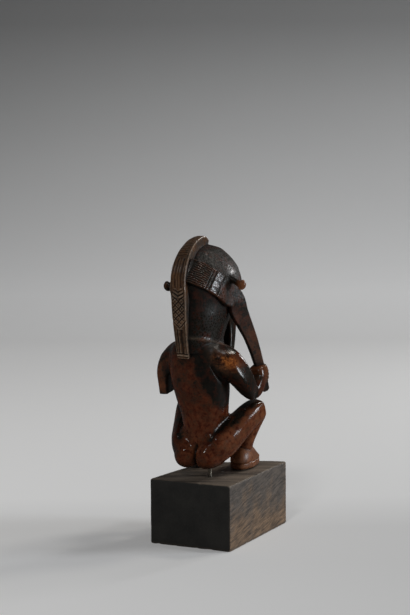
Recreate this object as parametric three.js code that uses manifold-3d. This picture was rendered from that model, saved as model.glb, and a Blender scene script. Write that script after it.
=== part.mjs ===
// A squatting carved wooden figure on one thin metal pin in a stained wood block.
// Millimetres, +Z up. The origin is the centre of the block's underside.
// The figure faces -Y, with its right hand on the -X side.
import * as THREE from 'three';
import Module from 'manifold-3d';
import { mergeVertices } from 'three/addons/utils/BufferGeometryUtils.js';

const wasm = await Module();
wasm.setup();

// Driving dimensions

const BLOCK_WIDTH = 54;
const BLOCK_LENGTH = 84;
const BLOCK_HEIGHT = 40;
const BLOCK_EDGE = 0.8; // worn bevel along its edges
const BLOCK_CORNER = 1.4; // plan radius of its corners
const FAR_CORNER_IN = 7; // how far the +X far corner is cut in from the side
const FAR_CORNER_NEAR = 11; // how far the same corner is cut in from the end
const FAR_CORNER_FALL = 2.2; // how far the top falls towards that corner

const MIDPLANE = 2.5; // X of the figure's middle plane
const PIN_RADIUS = 1;
const PIN_GAP = 0.3; // clearance all round the pin in its two holes
const PIN_X = -2.3;
const PIN_Y = 18.2;
const PIN_FOOT = 26;
const PIN_TOP = 58;

const HEAD_AXIS = 15; // Y of the middle of the skull
const HEAD_SHIFT = 1.6; // the head sits this far to its right of the middle plane
const SKULL_ACROSS = 18; // half width of the skull at the ears
const SKULL_DEEP = 31.1; // half depth of the skull at the ears
const EAR_OUT = 27.8;
const EAR_BACK = 17.8;
const EAR_UP = 156.6;
const EAR_TILT = 1.2; // the right ear sits this much higher than its middle height, the left lower

// A station is a section of a limb: where its middle is (out from the middle plane, back, up),
// its half sizes (across, deep) and how square it is (2 is an ellipse, 4 nearly a rectangle).

function station(out, back, up, across, deep, square = 2.2) {
  return {
    centre: new THREE.Vector3(out, back, up),
    girth: new THREE.Vector3(across, deep, square),
  };
}

// The landmarks of the body. Paired ones are given for one side and mirrored.

const TORSO = [
  station(0, 19, 51, 7, 7, 2.4), // seat
  station(0.3, 18, 58.5, 9, 11.4, 2.3), // hips
  station(0.6, 16.6, 65, 11.4, 12.6, 2.3),
  station(0.8, 16.2, 72, 13, 13.3, 2.4),
  station(0.75, 16.8, 81, 14.2, 13.6, 2.5), // waist
  station(0.3, 19, 93, 16.7, 14, 2.5),
  station(0, 22.2, 105, 17.8, 14.2, 2.5), // chest
  station(0, 23.4, 114, 16.8, 15.4, 2.4),
  station(0, 22.9, 121, 14.4, 17.2, 2.3), // shoulders
  station(0, 22.6, 125, 11, 18.4, 2.2),
];

const HEAD = [
  station(0, 22.5, 117, 11, 18.4, 2.1), // root of the neck
  station(0, 22.6, 124, 11.2, 20.3, 2.1),
  station(0, 21.3, 131, 12.4, 22.5, 2.1),
  station(0, 19.7, 138, 13.8, 24.7, 2.15), // under the jaw
  station(0, 16.6, 146, 14.8, 27.8, 2.2),
  station(0, 15.3, 151.5, 16.4, 29.5, 2.2),
  station(0, HEAD_AXIS, 157.5, SKULL_ACROSS, SKULL_DEEP, 2.2), // ears
  station(0, 15, 165.5, 16.2, 28.8, 2.15),
  station(0, 14.6, 172.6, 11.8, 23.4, 2.1),
  station(0, 14.6, 178.4, 6.6, 15.7, 2.1),
  station(0, 15, 181.8, 2.4, 5.5, 2), // crown
];

const CREST = [
  station(0, 11.5, 181.6, 1.8, 2.2, 4), // front end, above the forehead
  station(0, 18, 183.9, 2.2, 3, 4),
  station(0, 28.5, 181, 3.2, 4.2, 4),
  station(0, 38.5, 174, 4.2, 5, 4),
  station(0, 44.6, 164, 4.8, 5.4, 4), // back of the head
  station(0, 44.6, 151, 4.8, 5, 4),
  station(-0.3, 42.6, 138, 4.4, 5.4, 4),
  station(-0.6, 40.8, 126, 4, 4.6, 4),
  station(-0.9, 38.4, 115, 3.7, 4, 4), // between the shoulders
];

const BEARD = [
  station(0, -7, 141, 7.6, 6.5, 3),
  station(0, -10.5, 133, 7.4, 5, 3),
  station(0, -10, 124, 7.8, 3.8, 3.4),
  station(0, -7.6, 115, 8.2, 3.2, 3.6),
];

const UPPER_ARM = [
  station(5, 22.6, 114, 7, 8.6, 2.3), // inside the shoulder
  station(12, 22.6, 114, 8, 9.6, 2.5),
  station(18.8, 21, 110.4, 7.6, 9, 3),
  station(24.4, 15.8, 102.4, 5.6, 6.9, 4.6),
  station(26.5, 7.6, 93, 4.2, 5, 5),
  station(25.9, 1.6, 86, 1.6, 2, 3.6), // elbow
];

const BLUNT_UPPER_ARM = [
  station(5, 22.6, 114, 7, 8.6, 2.3), // inside the shoulder
  station(12, 22.4, 114.4, 8, 9.4, 2.4),
  station(18.8, 20.8, 111.6, 7.2, 9.2, 2.8),
  station(23.8, 18.4, 105, 4.6, 8.4, 4),
  station(24.8, 16.6, 97, 3.4, 8, 5),
  station(24.8, 15.4, 90, 3.3, 7.8, 5), // the left elbow is cut off flat
];

const FOREARM = [
  station(25.8, 3.6, 88.6, 3, 4, 2.8), // elbow
  station(26.2, -1.5, 92, 4.2, 5, 3),
  station(26, -5.5, 95.6, 4.6, 5.2, 3),
  station(25.4, -9.5, 99, 4.5, 5, 3), // wrist
];

const SHORT_FOREARM = [
  station(24.4, 12, 95, 3.4, 4.6, 3), // hidden in the blunt elbow
  station(25.4, 4, 94.4, 3.8, 4.8, 2.8),
  station(25.8, -4, 96.6, 4.2, 4.8, 2.8),
  station(25.5, -9.5, 99.5, 4.2, 4.6, 2.6), // wrist
];

const FIST = [
  station(24.6, -8.4, 106.6, 4.4, 5, 3.2),
  station(25, -10, 100, 5.3, 6.4, 3.6),
  station(25, -11.4, 93, 4.4, 5.4, 3.2),
];

const THIGH = [
  station(6.8, 31, 57, 6.6, 8.8, 2.2), // seat
  station(8.8, 25, 58, 8.2, 10.4, 2.2),
  station(12.4, 16.5, 61, 8.6, 10.8, 2.2),
  station(17, 6.5, 68, 7.6, 9.2, 2.4),
  station(21.6, -3.5, 75.4, 6.4, 8, 2.8),
  station(24.9, -13, 79.6, 5, 5.6, 4), // knee
];

const SHIN = [
  station(23.8, -13.4, 77, 4.8, 5.4, 2.8), // knee
  station(19.2, -12.4, 67, 4.6, 5.2, 2.4),
  station(15.2, -11.6, 57, 4.6, 5.4, 2.3),
  station(13.2, -10.4, 48, 5, 6.4, 2.3), // ankle
];

const FOOT = [
  station(13.8, -2, 47.4, 5, 6, 2.6), // heel
  station(13, -10, 47.6, 6, 6.8, 2.8),
  station(12, -20, 46.4, 6.6, 5.6, 2.8),
  station(11, -29, 44.8, 6, 3.8, 2.8), // toes
];

const BUTTOCK = [
  station(5.4, 32.4, 56, 6, 7.6, 2.2),
  station(6.4, 26, 54.6, 8.4, 9, 2.2),
  station(9, 14, 55.8, 8.4, 9, 2.1),
];

const LOCK = [
  station(17.2, 14, 152.6, 2.6, 7.4, 4), // under the ear
  station(18.2, 10.2, 148.4, 2.5, 7, 4),
  station(20, 7.4, 141, 2.2, 6.5, 4),
  station(21, 3.7, 133.5, 1.9, 5.1, 4),
  station(22, -1.2, 124, 1.7, 4, 4),
  station(23.6, -7.5, 110, 1.6, 3.2, 4),
  station(25.2, -13.4, 94, 1.6, 2.7, 3.4),
  station(25.8, -15.2, 88.8, 1.4, 2.3, 3), // free end below the fist
];

// A closed surface along a smooth curve through the stations. A ball's vertices are carried along it:
// its height gives the place on the curve, and its turn gives the place round the section, which
// is a superellipse, square to the curve or level. The ends close over the given shares of the length.

function limb(stations, {
  around = 16, along = 12, start = 0.16, end = 0.16, side = null, level = false,
} = {}) {
  const path = new THREE.CatmullRomCurve3(stations.map((s) => s.centre), false, 'catmullrom', 0.5);
  const girths = new THREE.CatmullRomCurve3(stations.map((s) => s.girth), false, 'catmullrom', 0.5);
  const ball = new THREE.SphereGeometry(1, around, along);
  ball.deleteAttribute('normal');
  ball.deleteAttribute('uv');
  const merged = mergeVertices(ball, 1e-5);
  const position = merged.attributes.position;
  const point = new THREE.Vector3();
  for (let i = 0; i < position.count; i += 1) {
    point.fromBufferAttribute(position, i);
    const share = THREE.MathUtils.clamp((1 - point.y) / 2, 0, 1);
    const t = path.getUtoTmapping(share);
    const centre = path.getPoint(t);
    const tangent = path.getTangent(THREE.MathUtils.clamp(t, 0.001, 0.999));
    const girth = girths.getPoint(t);
    const across = side ? side(centre) : new THREE.Vector3(1, 0, 0);
    const lengthwise = level ? new THREE.Vector3(0, 0, 1) : tangent;
    across.addScaledVector(lengthwise, -across.dot(lengthwise)).normalize();
    const deep = new THREE.Vector3().crossVectors(lengthwise, across);
    const close = endShare(share, start) * endShare(1 - share, end);
    const turn = Math.atan2(point.z, point.x);
    const power = 2 / girth.z;
    const u = Math.sign(Math.cos(turn)) * Math.abs(Math.cos(turn)) ** power;
    const v = Math.sign(Math.sin(turn)) * Math.abs(Math.sin(turn)) ** power;
    centre.addScaledVector(across, girth.x * close * u);
    centre.addScaledVector(deep, girth.y * close * v);
    position.setXYZ(i, centre.x, centre.y, centre.z);
  }
  return solidOf(merged);
}

// How far a limb's section has opened at this share of its length from an end.

function endShare(share, length) {
  const open = THREE.MathUtils.clamp(share / length, 0, 1);
  return Math.sqrt(Math.max(0, 1 - (1 - open) ** 2));
}

// A three.js geometry as a solid, turned the right way out.

function solidOf(geometry) {
  let index = Array.from(geometry.index.array);
  const position = geometry.attributes.position.array;
  if (signedVolume(position, index) < 0) {
    index = index.map((_, i) => index[i - (i % 3) + 2 - (i % 3)]);
  }
  return new wasm.Manifold(new wasm.Mesh({
    numProp: 3,
    vertProperties: new Float32Array(position),
    triVerts: new Uint32Array(index),
  }));
}

function signedVolume(position, index) {
  const corner = (i) => new THREE.Vector3().fromArray(position, 3 * index[i]);
  let sum = 0;
  for (let i = 0; i < index.length; i += 3) {
    sum += corner(i).dot(corner(i + 1).cross(corner(i + 2)));
  }
  return sum / 6;
}

// The same with the coordinates merged, for geometries that come with normals and uv.

function solidFrom(geometry) {
  geometry.deleteAttribute('normal');
  geometry.deleteAttribute('uv');
  return solidOf(mergeVertices(geometry, 1e-4));
}

function geometryOf(solid) {
  const mesh = solid.getMesh();
  const geometry = new THREE.BufferGeometry();
  geometry.setAttribute('position', new THREE.BufferAttribute(new Float32Array(mesh.vertProperties), 3));
  geometry.setIndex(new THREE.BufferAttribute(new Uint32Array(mesh.triVerts), 1));
  geometry.computeVertexNormals();
  return geometry;
}

// Both copies of a paired piece, on the figure's right (-X) and left (+X).

function pair(solid) {
  return [solid.mirror([1, 0, 0]), solid];
}

// Outwards from the axis of the head, turning towards the back where the lock hangs free.

function awayFromHeadAxis(point) {
  const away = new THREE.Vector3(point.x, (point.y - HEAD_AXIS) * (SKULL_ACROSS / SKULL_DEEP), 0);
  return away.lengthSq() > 0 ? away.normalize() : new THREE.Vector3(1, 0, 0);
}

function outAndBack() {
  return new THREE.Vector3(0.8, 0.6, 0.1);
}

// The hair band: from beside the crest round the head, falling forward to the top of the lock.

function hairBand() {
  const steps = 6;
  const first = THREE.MathUtils.degToRad(4);
  const last = THREE.MathUtils.degToRad(92);
  const inset = 2; // of the band's own middle, under the skull's surface
  const fall = 20;
  const stations = [];
  for (let i = 0; i <= steps; i += 1) {
    const share = i / steps;
    const angle = THREE.MathUtils.lerp(first, last, share);
    stations.push(station(
      (SKULL_ACROSS - inset) * Math.sin(angle),
      HEAD_AXIS + (SKULL_DEEP - inset) * Math.cos(angle),
      168 - fall * share ** 1.5,
      2.4,
      7.4,
      3.4,
    ));
  }
  return limb(stations, { around: 12, along: 11, start: 0.05, end: 0.05, side: awayFromHeadAxis });
}

function ear(up) {
  return limb([
    station(15, EAR_BACK, up + 4.5, 2.8, 2.8, 2),
    station(20, EAR_BACK, up + 2.4, 2.7, 2.7, 2),
    station(23.4, EAR_BACK, up + 0.8, 2.4, 2.5, 2),
    station(25.2, EAR_BACK, up + 0.2, 3.1, 3.3, 2),
    station(EAR_OUT - 0.2, EAR_BACK, up - 0.4, 2.6, 3, 2),
  ], { around: 12, along: 9, start: 0.1, end: 0.22, side: () => new THREE.Vector3(0, 1, 0) });
}

// The face: plain regular features on the front of the skull.

function face() {
  const front = HEAD_AXIS - SKULL_DEEP;
  const nose = limb([
    station(0, front + 1, 160, 1.6, 2, 2.2),
    station(0, front - 1, 155, 2.2, 2.6, 2.2),
    station(0, front - 1.6, 151, 3.6, 3, 2.4),
  ], { around: 10, along: 8, start: 0.3, end: 0.3 });
  const lips = limb([
    station(-5.6, front + 6.6, 145.4, 1.6, 1.6, 2),
    station(0, front + 4.2, 145.2, 2.2, 2.4, 2),
    station(5.6, front + 6.6, 145.4, 1.6, 1.6, 2),
  ], { around: 8, along: 8, start: 0.3, end: 0.3, side: () => new THREE.Vector3(0, 0, 1) });
  const eye = limb([
    station(3.4, front + 1, 157, 1.6, 2.2, 2),
    station(7, front + 2.2, 157.4, 2.2, 2.6, 2),
    station(10.6, front + 5, 157, 1.6, 2.2, 2),
  ], { around: 8, along: 8, start: 0.3, end: 0.3, side: () => new THREE.Vector3(0, 0, 1) });
  const brow = limb([
    station(1.4, front + 1, 162, 1.2, 2, 2.2),
    station(6.4, front + 2.4, 163.4, 1.2, 2.2, 2.2),
    station(11, front + 5.4, 162.2, 1.2, 2, 2.2),
  ], { around: 8, along: 8, start: 0.3, end: 0.3, side: () => new THREE.Vector3(0, 0, 1) });
  return [nose, lips, ...pair(eye), ...pair(brow)];
}

function pinHole() {
  const hole = new THREE.CylinderGeometry(PIN_RADIUS + PIN_GAP, PIN_RADIUS + PIN_GAP,
    PIN_TOP - PIN_FOOT + 2 * PIN_GAP, 16);
  hole.rotateX(Math.PI / 2);
  hole.translate(PIN_X, PIN_Y, (PIN_TOP + PIN_FOOT) / 2);
  return solidFrom(hole);
}

function carvedFigure() {
  const head = [
    limb(HEAD, { around: 24, along: 22, start: 0.02, end: 0.04, level: true }),
    ...pair(hairBand()),
    ear(EAR_UP + EAR_TILT).mirror([1, 0, 0]),
    ear(EAR_UP - EAR_TILT),
    ...face(),
  ];
  const pieces = [
    wasm.Manifold.union(head).translate([-HEAD_SHIFT, 0, 0]),
    limb(TORSO, { around: 22, along: 14, start: 0.1, end: 0.06 }),
    limb(CREST, { around: 12, along: 20, start: 0.02, end: 0.02 }),
    limb(BEARD, { around: 14, along: 10, start: 0.1, end: 0.1 }),
    limb(UPPER_ARM, { around: 16, along: 14, start: 0.2, end: 0.1 }).mirror([1, 0, 0]),
    limb(BLUNT_UPPER_ARM, { around: 16, along: 14, start: 0.2, end: 0.012 }),
    limb(FOREARM, { around: 12, along: 8 }).mirror([1, 0, 0]),
    limb(SHORT_FOREARM, { around: 12, along: 8 }),
    ...pair(limb(FIST, { around: 12, along: 8, start: 0.18, end: 0.2 })),
    ...pair(limb(THIGH, { around: 16, along: 12, start: 0.2, end: 0.03 })),
    ...pair(limb(SHIN, { around: 12, along: 8, start: 0.1, end: 0.1 })),
    ...pair(limb(FOOT, { around: 16, along: 12 })),
    ...pair(limb(BUTTOCK, { around: 16, along: 12, start: 0.3, end: 0.2 })),
    ...pair(limb(LOCK, { around: 12, along: 12, start: 0.03, end: 0.03, side: outAndBack })),
  ];
  const body = wasm.Manifold.union(pieces).translate([MIDPLANE, 0, 0]);
  return body.subtract(pinHole());
}

function mountingPin() {
  const pin = new THREE.CylinderGeometry(PIN_RADIUS, PIN_RADIUS, PIN_TOP - PIN_FOOT, 16);
  pin.rotateX(Math.PI / 2);
  pin.translate(PIN_X, PIN_Y, (PIN_TOP + PIN_FOOT) / 2);
  return solidFrom(pin);
}

// The block: a beam end with softened edges, its far +X corner cut askew and falling.

function baseBlock() {
  const w = BLOCK_WIDTH / 2 - BLOCK_EDGE;
  const l = BLOCK_LENGTH / 2 - BLOCK_EDGE;
  const corners = [[-w, -l], [w - FAR_CORNER_IN, -l + FAR_CORNER_NEAR], [w, l], [-w, l]];
  const plan = new THREE.Shape();
  corners.forEach(([x, y], i) => {
    const here = new THREE.Vector2(x, y);
    const before = new THREE.Vector2(...corners[(i + 3) % 4]).sub(here).setLength(BLOCK_CORNER).add(here);
    const after = new THREE.Vector2(...corners[(i + 1) % 4]).sub(here).setLength(BLOCK_CORNER).add(here);
    if (i === 0) {
      plan.moveTo(before.x, before.y);
    } else {
      plan.lineTo(before.x, before.y);
    }
    plan.quadraticCurveTo(x, y, after.x, after.y);
  });
  const block = new THREE.ExtrudeGeometry(plan, {
    depth: BLOCK_HEIGHT - 2 * BLOCK_EDGE,
    bevelThickness: BLOCK_EDGE,
    bevelSize: BLOCK_EDGE,
    bevelSegments: 2,
    curveSegments: 3,
  });
  block.translate(0, 0, BLOCK_EDGE);
  const position = block.attributes.position;
  for (let i = 0; i < position.count; i += 1) {
    const far = (BLOCK_LENGTH / 2 - position.getY(i)) / BLOCK_LENGTH;
    const left = (position.getX(i) + BLOCK_WIDTH / 2) / BLOCK_WIDTH;
    const up = position.getZ(i) / BLOCK_HEIGHT;
    position.setZ(i, position.getZ(i) - FAR_CORNER_FALL * far * left * up);
  }
  return solidFrom(block).subtract(pinHole());
}

const finishes = {
  patina: new THREE.MeshStandardMaterial({ color: 0x2a140c, roughness: 0.35, metalness: 0 }),
  steel: new THREE.MeshStandardMaterial({ color: 0x8c8072, roughness: 0.4, metalness: 1 }),
  stained: new THREE.MeshStandardMaterial({ color: 0x2b2622, roughness: 0.6, metalness: 0 }),
};

function piece(name, solid, material) {
  const mesh = new THREE.Mesh(geometryOf(solid), material);
  mesh.name = name;
  return mesh;
}

const figure = new THREE.Group();
figure.add(piece('carved_figure', carvedFigure(), finishes.patina));
figure.add(piece('mounting_pin', mountingPin(), finishes.steel));
figure.add(piece('base_block', baseBlock(), finishes.stained));

export default figure;
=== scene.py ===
"""A squatting carved wooden figure on one thin metal pin in a stained wood block."""

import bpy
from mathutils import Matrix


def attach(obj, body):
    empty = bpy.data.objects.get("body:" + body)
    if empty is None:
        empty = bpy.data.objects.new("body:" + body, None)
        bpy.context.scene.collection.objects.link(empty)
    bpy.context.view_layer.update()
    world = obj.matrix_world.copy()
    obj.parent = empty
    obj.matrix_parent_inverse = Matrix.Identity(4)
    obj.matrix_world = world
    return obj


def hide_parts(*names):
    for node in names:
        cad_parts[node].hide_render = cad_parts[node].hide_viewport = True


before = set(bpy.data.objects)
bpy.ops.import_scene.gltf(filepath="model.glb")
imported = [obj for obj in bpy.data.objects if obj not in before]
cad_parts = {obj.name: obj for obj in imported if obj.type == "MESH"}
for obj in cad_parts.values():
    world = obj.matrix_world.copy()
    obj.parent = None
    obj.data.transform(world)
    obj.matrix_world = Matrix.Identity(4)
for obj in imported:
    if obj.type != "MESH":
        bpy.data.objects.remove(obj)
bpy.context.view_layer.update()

import math

import bpy
import numpy as np
from mathutils import Matrix, Vector

# Sizes in millimetres unless a name says otherwise

MM = 0.001
MIDPLANE = 2.5  # X of the figure's middle plane
HEAD_SHIFT = 1.6  # the head sits this far to its right of the middle plane
HEAD_AXIS = 15.0  # Y of the middle of the skull
SKULL_ACROSS = 18.0
SKULL_DEEP = 31.1
EAR_OUT, EAR_BACK, EAR_UP, EAR_TILT = 27.8, 17.8, 156.6, 1.2
SOLE_UP = 41.0  # the feet hang just off the block, whose top is at 40

BLOCK_HALF_WIDE, BLOCK_HALF_LONG, BLOCK_HIGH = 27.0, 42.0, 40.0
BLOCK_NOOK = (7, 11)  # how far the block's one cut corner is set in, across and along
BLOCK_CORNER, BLOCK_EDGE = 1.5, 0.9  # roundings of its upright corners and of its other edges

BODY_VOXEL = 0.95  # size of the cells that join the limbs

# How black and how brown each carved part is before the worn and rubbed places are counted in
DARKNESS = {
    "body": 0.32, "head": 1.1, "crest": 0.5, "beard": 1.1,
    "strap": 0.85, "ear": 0.1, "foot": 0.0, "fist": 0.5,
}
BROWNNESS = {
    "body": 0.1, "head": 0.1, "crest": 0.85, "beard": 0.0,
    "strap": 0.3, "ear": 0.8, "foot": 0.8, "fist": 0.4,
}
PARTS = list(DARKNESS)

# Stations of the limbs: out from the middle plane, back, up, half size across, half size deep, squareness

TORSO = [
    (0, 19, 51, 7, 7, 2.4), (0.3, 18, 58.5, 9, 11.4, 2.3), (0.6, 16.6, 65, 11.4, 12.6, 2.3),
    (0.8, 16.2, 72, 13, 13.3, 2.4), (0.75, 16.8, 81, 14.2, 13.6, 2.5), (0.3, 19, 93, 16.7, 14, 2.5),
    (0, 22.2, 105, 17.8, 14.2, 2.5), (0, 23.4, 114, 16.8, 15.4, 2.4), (0, 22.9, 121, 14.4, 17.2, 2.3),
    (0, 22.6, 125, 11, 18.4, 2.2),
]
UPPER_ARM = [
    (5, 22.6, 114, 7, 8.6, 2.3), (12, 22.6, 114, 8, 9.6, 2.5), (18.8, 21, 110.4, 7.6, 9, 3),
    (24.4, 15.8, 102.4, 5.6, 6.9, 4.6), (26.5, 7.6, 93, 4.2, 5, 5), (25.9, 1.6, 86, 1.6, 2, 3.6),
]
BLUNT_UPPER_ARM = [
    (5, 22.6, 114, 7, 8.6, 2.3), (12, 22.4, 114.4, 8, 9.4, 2.4), (18.8, 20.8, 111.6, 7.2, 9.2, 2.8),
    (23.8, 18.4, 105, 4.6, 8.4, 4), (24.8, 16.6, 97, 3.4, 8, 5), (24.8, 15.4, 90, 3.3, 7.8, 5),
]
FOREARM = [
    (25.8, 3.6, 88.6, 3, 4, 2.8), (26.2, -1.5, 92, 4.2, 5, 3),
    (26, -5.5, 95.6, 4.6, 5.2, 3), (25.4, -9.5, 99, 4.5, 5, 3),
]
SHORT_FOREARM = [
    (24.4, 12, 95, 3.4, 4.6, 3), (25.4, 4, 94.4, 3.8, 4.8, 2.8),
    (25.8, -4, 96.6, 4.2, 4.8, 2.8), (25.5, -9.5, 99.5, 4.2, 4.6, 2.6),
]
THIGH = [
    (6.8, 31, 57, 6.6, 8.8, 2.2), (8.8, 25, 58, 8.2, 10.4, 2.2), (12.4, 16.5, 61, 8.6, 10.8, 2.2),
    (17, 6.5, 68, 7.6, 9.2, 2.4), (21.6, -3.5, 75.4, 6.4, 8, 2.8), (24.9, -13, 79.6, 5, 5.6, 4),
]
SHIN = [
    (23.8, -13.4, 77, 4.8, 5.4, 2.8), (19.2, -12.4, 67, 4.6, 5.2, 2.4),
    (15.2, -11.6, 57, 4.6, 5.4, 2.3), (13.2, -10.4, 48, 5, 6.4, 2.3),
]
BUTTOCK = [(5.4, 32.4, 56, 6, 7.6, 2.2), (6.4, 26, 54.6, 8.4, 9, 2.2), (9, 14, 55.8, 8.4, 9, 2.1)]
FIST = [(24.6, -8.4, 106.6, 4.4, 5, 3.2), (25, -10, 100, 5.3, 6.4, 3.6), (25, -11.4, 93, 4.4, 5.4, 3.2)]
CREST = [
    (0, 11.5, 181.6, 1.8, 2.2, 4), (0, 18, 183.9, 2.2, 3, 4), (0, 28.5, 181, 3.2, 4.2, 4),
    (0, 38.5, 174, 4.2, 5, 4), (0, 44.6, 164, 4.8, 5.4, 4), (0, 44.6, 151, 4.8, 5, 4),
    (-0.3, 42.6, 138, 4.4, 5.4, 4), (-0.6, 40.8, 126, 4, 4.6, 4), (-0.9, 38.4, 115, 3.7, 4, 4),
]
BEARD = [
    (0, -7, 141, 7.6, 6.5, 3), (0, -10.5, 133, 7.4, 5, 3),
    (0, -10, 124, 7.8, 3.8, 3.4), (0, -7.6, 115, 8.2, 3.2, 3.6),
]
HEAD = [
    (0, 22.5, 117, 11, 18.4, 2.1), (0, 22.6, 124, 11.2, 20.3, 2.1), (0, 21.3, 131, 12.4, 22.5, 2.1),
    (0, 19.7, 138, 13.8, 24.7, 2.15), (0, 16.6, 146, 14.8, 27.8, 2.2), (0, 15.3, 151.5, 16.4, 29.5, 2.2),
    (0, HEAD_AXIS, 157.5, SKULL_ACROSS, SKULL_DEEP, 2.2), (0, 15, 165.5, 16.2, 28.8, 2.15),
    (0, 14.6, 172.6, 11.8, 23.4, 2.1), (0, 14.6, 178.4, 6.6, 15.7, 2.1), (0, 15, 181.8, 2.4, 5.5, 2),
]
NECK_ROOT = [
    (0, 22.6, 108, 9, 12, 2.2), (0, 22.5, 118, 10, 16.8, 2.2),
    (0, 22.3, 127, 10.2, 19, 2.2), (0, 21.8, 129.5, 10.2, 19.4, 2.2),
]
LOCK_END = [
    (17.4, 11.6, 148.4, 2.4, 6.2, 4), (18.5, 8.6, 141, 2.1, 5.8, 4), (20.1, 4.3, 133.5, 1.9, 4.9, 4),
    (21.8, -1.1, 124, 1.7, 4, 4), (23.6, -7.5, 110, 1.6, 3.2, 4), (25.2, -13.4, 94, 1.6, 2.7, 3.4),
    (25.8, -15.2, 88.8, 1.4, 2.3, 3),
]

EAR = [
    (15, EAR_BACK, EAR_UP + 4.5, 1.9, 2, 2), (20, EAR_BACK, EAR_UP + 2.4, 1.7, 1.8, 2),
    (23.2, EAR_BACK, EAR_UP + 0.8, 1.8, 1.9, 2), (25, EAR_BACK, EAR_UP + 0.2, 3, 3.2, 2),
    (EAR_OUT - 0.2, EAR_BACK, EAR_UP - 0.4, 2.6, 3, 2),
]

# Creases behind, as out from the middle plane and up: where the back meets the thighs, and the cleft
SEAT_CREASE = [(14.8, 77), (13.2, 70), (10.5, 64.5), (5, 62)]
SEAT_CLEFT = [(0.9, 60.5), (0.2, 45)]

# The cut under the right arm where it leaves the back, as out and up: where it starts and where it ends
ARMPIT_TOP = (14.5, 109.4)
ARMPIT_FOOT = (18.5, 99.0)

# Where each pattern of the crest starts and ends, as shares of its length from the front
CREST_ZONES = {
    "cross lines": (0.02, 0.35), "long ridges": (0.355, 0.53), "chevrons": (0.53, 0.6),
    "lattice": (0.6, 0.775), "narrow ridges": (0.79, 0.965),
}

# The orange patch on the right shoulder: its middle, which way it runs, and its half length and width
WARM_MIDDLE, WARM_RUN = (21.0, 28.0, 112.5), (8.0, -8.0, -6.0)
WARM_LONG, WARM_WIDE = 6.5, 4.2

NEUTRAL_DULL = 0.3  # the mark for wood neither duller nor shinier than the rest
TEMPLE = ((17, 12, 166), (7, 6, 6))  # the one shiny place high on each side of the head

# Places rubbed to a shine, on both sides: out from the middle plane, back and up, with their sizes
POLISHED = [
    ((20.5, 22, 117.5), (7, 7, 5)), ((8, 33, 57), (5, 6, 4)), ((18, 10, 72), (6, 9, 8)),
    ((24, -8, 80), (5, 6, 5)), ((27, -12, 101), (4, 6, 8)), ((28, 18, 157), (3, 5, 5)),
    ((15, 33, 159), (5, 8, 5)),
]


# Curves and surfaces


def catmull(rows, t):
    """Points of the curve through rows at places t, counted in rows: on each stretch a cubic whose end
    slopes are half the step between the rows before and after, with the end rows mirrored outwards."""
    rows = np.asarray(rows, float)
    padded = np.vstack([2 * rows[0] - rows[1], rows, 2 * rows[-1] - rows[-2]])
    i = np.clip(np.floor(t).astype(int), 0, len(rows) - 2)
    s = (t - i)[:, None]
    a, b, c, d = (padded[i + k] for k in range(4))
    square, cube = 2 * a - 5 * b + 4 * c - d, 3 * b - a - 3 * c + d
    return 0.5 * (2 * b + (c - a) * s + square * s**2 + cube * s**3)


def places(stations, shares):
    """Row places for shares of the curve's length: the length is summed on a fine walk and read back."""
    walk = np.linspace(0, len(stations) - 1, 600)
    steps = np.linalg.norm(np.diff(catmull(stations, walk)[:, :3], axis=0), axis=1)
    length = np.concatenate([[0], np.cumsum(steps)])
    return np.interp(shares * length[-1], length, walk), length[-1]


def unit(v):
    """The vectors at length 1."""
    return v / np.maximum(np.linalg.norm(v, axis=-1, keepdims=True), 1e-9)


def square_to(vectors, along):
    """The vectors at length 1, made square to along."""
    return unit(vectors - (vectors * along).sum(1, keepdims=True) * along)


def direction(stations, t):
    """The curve's unit tangent at places t, from two places close by."""
    near, last = 0.01, len(stations) - 1
    ahead = catmull(stations, np.clip(t + near, 0, last))[:, :3]
    behind = catmull(stations, np.clip(t - near, 0, last))[:, :3]
    return unit(ahead - behind)


def superellipse(turn, power):
    """Shares across and deep of a section: cosine and sine of the turn, raised to the power with their
    signs kept. A power of 1 gives an ellipse, a smaller one a squarer section."""
    c, d = np.cos(turn), np.sin(turn)
    return np.sign(c) * np.abs(c) ** power, np.sign(d) * np.abs(d) ** power


def rounding(shares, start, end):
    """How far the section is open: a quarter ellipse over the start share and the end share."""
    first = np.clip(shares / start, 0, 1)
    final = np.clip((1 - shares) / end, 0, 1)
    return np.sqrt(np.clip(1 - (1 - first) ** 2, 0, 1)) * np.sqrt(np.clip(1 - (1 - final) ** 2, 0, 1))


def limb(stations, around=64, along=64, start=0.16, end=0.16, side=(1, 0, 0)):
    """A limb as a grid of points: a superellipse section carried along the stations' curve, closing
    over the start and end shares. Across is the side direction made square to the curve, deep is
    square to both. The rows crowd towards both ends as a ball's do."""
    shares = (1 - np.cos(np.linspace(0, math.pi, along))) / 2
    t, _ = places(stations, shares)
    rows = catmull(stations, t)
    centre, sizes = rows[:, :3], rows[:, 3:]
    tangent = direction(stations, t)
    across = square_to(np.broadcast_to(np.asarray(side, float), centre.shape), tangent)
    deep = np.cross(tangent, across)
    turn = np.linspace(0, 2 * math.pi, around, endpoint=False)
    u, v = superellipse(turn, 2 / sizes[:, 2:3])
    size = sizes * rounding(shares, start, end)[:, None]
    return (
        centre[:, None]
        + across[:, None] * (size[:, 0:1] * u)[..., None]
        + deep[:, None] * (size[:, 1:2] * v)[..., None]
    )


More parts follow.
